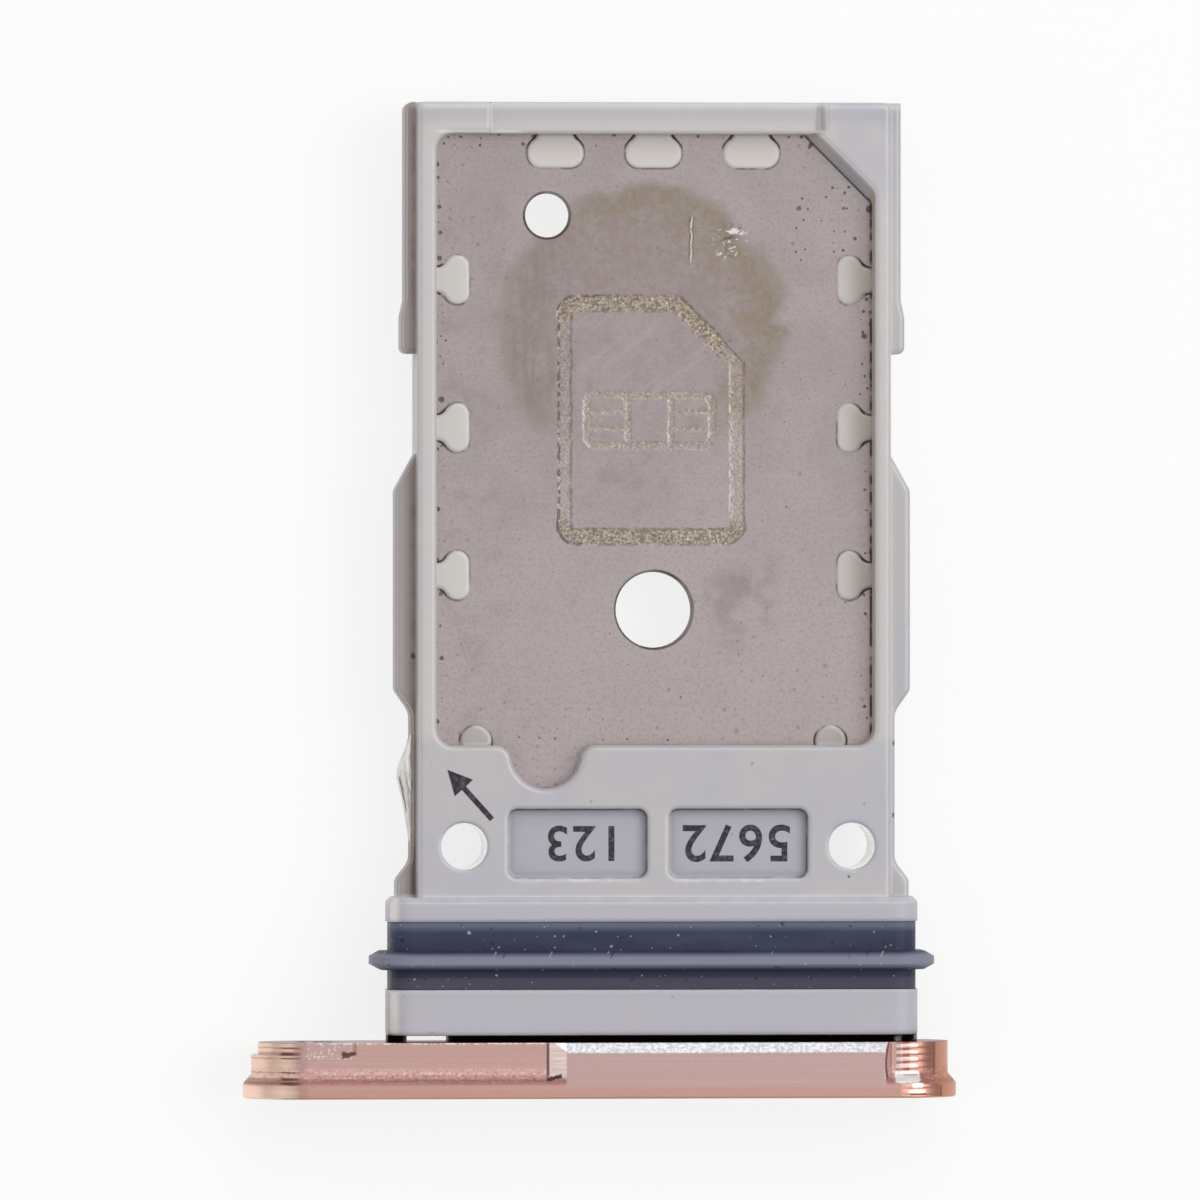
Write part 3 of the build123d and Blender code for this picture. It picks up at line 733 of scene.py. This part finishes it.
# A painted highlight along the crest of the bead
crest_highlight = abs(silicone.y - bead_y).fall(0.08, 0.19)
rubber = silicone.mix(crest_highlight * 0.85, rubber, tone(138, 141, 159))
by_bead = abs(abs(silicone.y - bead_y) - 0.24).fall(0.03, 0.12)
tuft = silicone.noise(0.9, 2.0).rise(0.45, 0.62)
lint = silicone.specks(2.1, 0.34, 0.07).max(silicone.specks(5.0, 0.26 + 0.3 * by_bead + 0.35 * tuft, 0.08))
rubber = silicone.mix(lint * 0.6, rubber, tone(176, 178, 188))
smut = silicone.specks(2.7, 0.45, 0.08)
rubber = silicone.mix(smut * 0.6, rubber, tone(24, 22, 30))
silicone.set(
    Base_Color=rubber,
    Roughness=0.46 + 0.16 * bloom,
    Specular_IOR_Level=0.3,
    Normal=silicone.bump(satin * 0.4 + bloom + lint, 0.008, silicone.rounded(0.05)),
)
silicone.dress("seal_ring")

# Face cap: aluminium, milled from bar, blasted and anodised pink copper. The cutter left fine lines along
# it, a grainy slope above the lip and steps round its ends, and cut the long pad's edge bright.

pad_right = cap_high.x - 1.58
pad_left = pad_right - 6.51
ramp_foot = pad_left - 0.40
lip_y = cap_low.y + 0.29
end_x = cap_high.x - cap_high.z / 2
rebate_right = -5.2
rebate_front = -9.38
nick_left = -5.34
nick_y = -9.25
rung_pitch = 0.136
copper = Finish("copper_anodised")
hone = copper.noise(1.0, 3.0, copper.stretched(0.15, 55.0, 6.0))
plough = copper.noise(1.0, 3.0, copper.stretched(0.15, 13.0, 4.0))
blast = copper.noise(30.0, 2.0)
spark = copper.noise(15.0, 3.0)
off_pad = (pad_left - copper.x).max(copper.x - pad_right)
above_lip = copper.y.rise(lip_y + 0.08, lip_y + 0.14)
dye = copper.mix(off_pad.rise(-0.02, 0.05), (0.66, 0.45, 0.435), (0.69, 0.43, 0.395))
dye = copper.mix(hone.rise(0.40, 0.62) * 0.22, dye, (0.56, 0.34, 0.31))
dye = copper.mix(plough.rise(0.52, 0.70) * 0.14, dye, (0.80, 0.60, 0.56))
on_lip = copper.y.fall(lip_y - 0.16, lip_y + 0.02)
dye = copper.mix(on_lip * 0.8, dye, (0.66, 0.375, 0.295))

# Ends: painted paler and warmer on the left and deeper on the right, as painted bright and dim reflections
behind_face = copper.y.rise(cap_low.y + 0.005, cap_low.y + 0.03)
left_end = copper.x.fall(-end_x - 0.34, -end_x - 0.14) * behind_face
right_end = copper.x.rise(end_x - 0.05, end_x + 0.25) * behind_face
dye = copper.mix(left_end * 0.85, dye, (0.92, 0.65, 0.51))
dye = copper.mix(right_end * 0.85, dye, (0.56, 0.275, 0.195))

# Slope: blasted grain, light at the top and painted maroon shade down in the corner above the lip
slope = copper.y.rise(lip_y, lip_y + 0.06) * copper.y.fall(lip_y + 0.20, lip_y + 0.40)
slope = slope * off_pad.rise(0.0, 0.05)
dye = copper.mix(slope * spark.rise(0.54, 0.68) * 0.6, dye, (0.92, 0.80, 0.77))
dye = copper.mix(slope * spark.fall(0.34, 0.46) * 0.6, dye, (0.42, 0.20, 0.19))
slope_foot_shade = abs(copper.y - lip_y - 0.05).fall(0.02, 0.10) * off_pad.rise(0.0, 0.05)
dye = copper.mix(slope_foot_shade * (0.45 + 0.5 * plough), dye, (0.38, 0.15, 0.14))

# Rebate at the left: grey grain, with glints along its lower edge
along_rebate = copper.x.band(-end_x, rebate_right, 0.1)
rebate = along_rebate * copper.y.rise(rebate_front, rebate_front + 0.08)
dye = copper.mix(rebate * (0.25 + 0.5 * spark.rise(0.45, 0.6)), dye, (0.62, 0.47, 0.46))
dye = copper.mix(rebate * spark.rise(0.55, 0.66) * 0.6, dye, (0.95, 0.82, 0.79))
lower_edge = abs(copper.y - (rebate_front + 0.07)).fall(0.01, 0.05)
glints = along_rebate * lower_edge * spark.rise(0.50, 0.62)
dye = copper.mix(glints * 0.8, dye, (1.0, 0.92, 0.88))

# A broken painted highlight along the back edge on both sides of the pad
back_edge_highlight = copper.y.rise(cap_high.y - 0.042, cap_high.y - 0.02) * off_pad.rise(0.02, 0.06)
back_edge_highlight = back_edge_highlight * abs(copper.x).fall(end_x - 0.3, end_x)
dye = copper.mix(back_edge_highlight * spark.rise(0.46, 0.56) * 0.8, dye, (1.0, 0.93, 0.91))

# Pad: a ramp at its left painted pale as a highlight, painted shade in the milled corners at its foot and
# round its right end, and a bright chamfer
ramp_highlight = copper.x.band(ramp_foot + 0.06, pad_left - 0.02, 0.03) * copper.y.rise(lip_y + 0.1, lip_y + 0.2)
dye = copper.mix(ramp_highlight * (0.5 + 0.5 * hone.rise(0.4, 0.6)), dye, (1.0, 0.85, 0.82))
ramp_foot_shade = abs(copper.x - ramp_foot - 0.02).fall(0.015, 0.04)
ramp_foot_shade = ramp_foot_shade * copper.y.rise(lip_y + 0.12, lip_y + 0.2) * 0.8
ramp_corner_shade = abs(copper.y - lip_y - 0.10 - 0.25 * (copper.x - ramp_foot)) + (spark - 0.5) * 0.12
ramp_corner_shade = ramp_corner_shade.fall(0.03, 0.07) * copper.x.band(ramp_foot, pad_left - 0.12, 0.03)
chamfer = copper.y.rise(cap_high.y - 0.225, cap_high.y - 0.205) * off_pad.fall(-0.02, 0.04)
bare = chamfer * abs(copper.z - middle).rise(middle - 0.16, middle - 0.12)
silver = copper.mix(spark.rise(0.35, 0.65), (0.44, 0.44, 0.475), (0.68, 0.68, 0.71))
dye = copper.mix(bare, dye, silver)
# Painted shade in a curve round the pad's right end
bow = copper.y - cap_high.y + 0.44
pad_end_shade = abs(copper.x - pad_right - 0.02 - 0.35 * bow * bow).fall(0.014, 0.035) * above_lip * 0.85

# Cutter steps: dark lines across the left end, and a nick where the rebate stops, darkened with the
# painted shade of the pad's corners
steps = ((-9.12, 0.014), (-9.24, 0.028), (-9.33, 0.014), (-9.62, 0.014), (-9.75, 0.024), (-9.84, 0.026))
steps_and_corner_shade = ramp_foot_shade.max(ramp_corner_shade).max(pad_end_shade)
scorch = copper.x.band(-end_x - 0.48, -end_x - 0.20, 0.12) * 0.55 + left_end * 0.35
for step_y, step_half in steps:
    step = abs(copper.y - step_y + (plough - 0.5) * 0.05).fall(step_half * 0.5, step_half * 1.8)
    steps_and_corner_shade = steps_and_corner_shade.max(step * scorch)
nick = abs(copper.y - nick_y - 0.15 * (copper.x - rebate_right))
nick = nick + 0.22 * (copper.x - nick_left) + (spark - 0.5) * 0.10
steps_and_corner_shade = steps_and_corner_shade.max(nick.fall(0.05, 0.09) * copper.x.band(nick_left, nick_left + 0.28, 0.04) * 0.9)
dye = copper.mix(steps_and_corner_shade, dye, (0.10, 0.035, 0.03))
# Painted light on the lip's ends, paler at the left and deeper at the right, as on the ends above it
dye = copper.mix(on_lip * left_end * 0.5, dye, (1.0, 0.74, 0.57))
dye = copper.mix(on_lip * right_end * 0.5, dye, (0.72, 0.36, 0.26))

# Right end: a painted highlight in a ladder of bright and dark rungs, painted highlights on the recess floor
# and on the lip below it, and dark lines round them, two of them a painted reflection of a dark horizon
rungs = (copper.y * (2 * math.pi / rung_pitch) + plough * 2.0).wave()
ladder_highlight = copper.x.band(end_x - 0.07, end_x + 0.35, 0.03) * copper.y.rise(lip_y + 0.22, lip_y + 0.27)
between = copper.x.band(end_x + 0.06, end_x + 0.18, 0.03)
past_ladder_shade = copper.x.band(end_x + 0.36, end_x + 0.70, 0.04) * above_lip
# Painted shade beyond the ladder and over the outermost rounding, dimming the reflections there
dye = copper.mix(past_ladder_shade * 0.5, dye, (0.42, 0.18, 0.14))
dye = copper.mix(copper.x.rise(end_x + 0.70, end_x + 0.76) * behind_face * 0.5, dye, (0.52, 0.22, 0.12))
dye = copper.mix(ladder_highlight * rungs.rise(-0.4, 0.3) * (0.6 - 0.35 * between), dye, (0.93, 0.84, 0.82))
dye = copper.mix(ladder_highlight * rungs.fall(-0.7, 0.0) * (0.5 + 0.4 * between), dye, (0.20, 0.06, 0.05))
# Painted highlights: a patch on the recess floor beside the ladder and a strip on the lip below it
floor_glare_patch = box_gap(copper.x - end_x - 0.14, copper.y - lip_y - 0.13, 0.26, 0.12, 0.06) + (spark - 0.5) * 0.10
lip_glare_patch = box_gap(copper.x - end_x - 0.33, copper.y - lip_y + 0.16, 0.17, 0.022, 0.02)
lip_glare_patch = lip_glare_patch.min(box_gap(copper.x - end_x - 0.35, copper.y - lip_y + 0.03, 0.11, 0.05, 0.03))
glare_patches = floor_glare_patch.min(lip_glare_patch + (spark - 0.5) * 0.04).fall(-0.02, 0.02)
dye = copper.mix(glare_patches * 0.9, dye, (1.0, 0.96, 0.94))
# Dark lines across the patch and near the lip's front edge, and two upright painted reflections of a dark
# horizon
patch_line = abs(copper.y - lip_y - 0.18).fall(0.010, 0.025) * copper.x.band(end_x + 0.08, end_x + 0.34, 0.03)
lip_edge_line = abs(copper.y - lip_y + 0.22).fall(0.010, 0.03) * copper.x.band(end_x + 0.2, end_x + 0.5, 0.05)
horizon_reflection = abs(copper.x - end_x - 0.72).fall(0.012, 0.035) * copper.y.rise(lip_y + 0.14, lip_y + 0.20)
lip_horizon_reflection = abs(copper.x - end_x - 0.85).fall(0.012, 0.035) * copper.y.fall(lip_y - 0.08, lip_y - 0.02)
dark_lines_and_horizon = (patch_line * 0.5).max(lip_edge_line * 0.8).max(horizon_reflection.max(lip_horizon_reflection) * behind_face * 0.6)
dye = copper.mix(dark_lines_and_horizon, dye, (0.24, 0.08, 0.06))

# The face towards the collar lies in black shade
inner_face = copper.y.rise(cap_high.y - 0.01, cap_high.y) * abs(copper.z - middle).fall(0.85, 0.95)
dye = copper.mix(inner_face * 0.9, dye, (0.05, 0.035, 0.03))

at_ends = (abs(copper.x) - end_x).rise(-0.1, 0.3)
relief = hone * 0.4 + plough * 0.2 + blast * 0.3 + rungs * at_ends * 0.45 + slope * spark * 1.2
copper.set(
    Base_Color=dye,
    Metallic=1.0 - 0.5 * steps_and_corner_shade,
    Roughness=0.25 + 0.12 * hone + 0.15 * slope,
    Normal=copper.bump(relief, 0.008, copper.rounded(0.03)),
)
copper.dress("face_cap")

# Table and light: a white table in a soft room, with a pale card on its left, one lamp from the right
# and a weaker one from the tip side.

table = bmesh.new()
just_below = Matrix.Translation((0, 0, -0.00001))
bmesh.ops.create_grid(table, x_segments=1, y_segments=1, size=0.4, matrix=just_below)
table_mesh = bpy.data.meshes.new("table")
table.to_mesh(table_mesh)
table.free()
table_top = bpy.data.objects.new("table", table_mesh)
bpy.context.scene.collection.objects.link(table_top)

paper = Finish("white_paper")
paper.set(Base_Color=(0.95, 0.95, 0.94), Roughness=0.9)
table_mesh.materials.append(paper.material)
rays = paper.tree.nodes.new("ShaderNodeLightPath")
camera_ray, glossy_ray, clear_ray = (
    Field(paper, rays.outputs[kind]) for kind in ("Is Camera Ray", "Is Glossy Ray", "Is Transmission Ray")
)
glow = paper.node("ShaderNodeEmission", {}, (1.0, 1.0, 1.0))
share = (camera_ray * 0.8).max(glossy_ray).max(clear_ray)
lit = paper.node("ShaderNodeMixShader", {}, share, Field(paper, paper.shader.outputs[0]), glow)
paper.feed(paper.tree.nodes["Material Output"].inputs[0], lit)

room = bpy.data.worlds.new("soft_room")
room.use_nodes = True
sky = Wiring(room.node_tree)
sky_x, sky_y, sky_z = sky.split(sky.node("ShaderNodeTexCoord", {}, output="Generated"))
level = sky_z.rise(0.3, 0.95, 0.38, 0.68) + 0.18 * sky_y.max(0.0) + sky_x.rise(-0.60, -0.46, 0.26, 0.0)
level = level * abs(sky_x + 0.40).rise(0.04, 0.09, 0.5, 1.0) * abs(sky_z).rise(0.02, 0.14, 0.4, 1.0)
backdrop = room.node_tree.nodes["Background"]
sky.feed(backdrop.inputs["Color"], (1.0, 1.0, 1.0))
sky.feed(backdrop.inputs["Strength"], level)
bpy.context.scene.world = room


def lamp(name, place_mm, size_mm, power):
    """A square soft lamp aimed at the middle of the tray."""
    data = bpy.data.lights.new(name, "AREA")
    data.shape = "SQUARE"
    data.size = size_mm / 1000
    data.energy = power
    made = bpy.data.objects.new(name, data)
    made.location = Vector(place_mm) / 1000
    aim = Vector((0, 0, middle)) / 1000 - made.location
    made.rotation_euler = aim.to_track_quat("-Z", "Y").to_euler()
    bpy.context.scene.collection.objects.link(made)


lamp("right_lamp", (250, 40, 310), 230, 0.50)
lamp("tip_lamp", (30, 290, 275), 260, 0.24)

# Camera: straight above, leaning a little to the left of the tray.

tilt = math.radians(5.0)
camera_reach = 0.3
photo_px = 1200
px_per_mm = 48.9
view_mm = photo_px / px_per_mm
camera_data = bpy.data.cameras.new("camera")
camera_data.sensor_width = 36.0
camera_data.lens = camera_data.sensor_width * camera_reach / (view_mm / 1000)
camera_data.clip_start = 0.01
camera_data.clip_end = 10.0
camera = bpy.data.objects.new("camera", camera_data)
target = Vector((0.0, 0.0, middle / 1000))
right = Vector((math.cos(tilt), 0.0, math.sin(tilt)))
back = Vector((-math.sin(tilt), 0.0, math.cos(tilt)))
stance = Matrix((right, (0, 1, 0), back)).transposed().to_4x4()
camera.matrix_world = Matrix.Translation(target + back * camera_reach) @ stance
bpy.context.scene.collection.objects.link(camera)
bpy.context.scene.camera = camera
bpy.context.scene.view_settings.view_transform = "Standard"
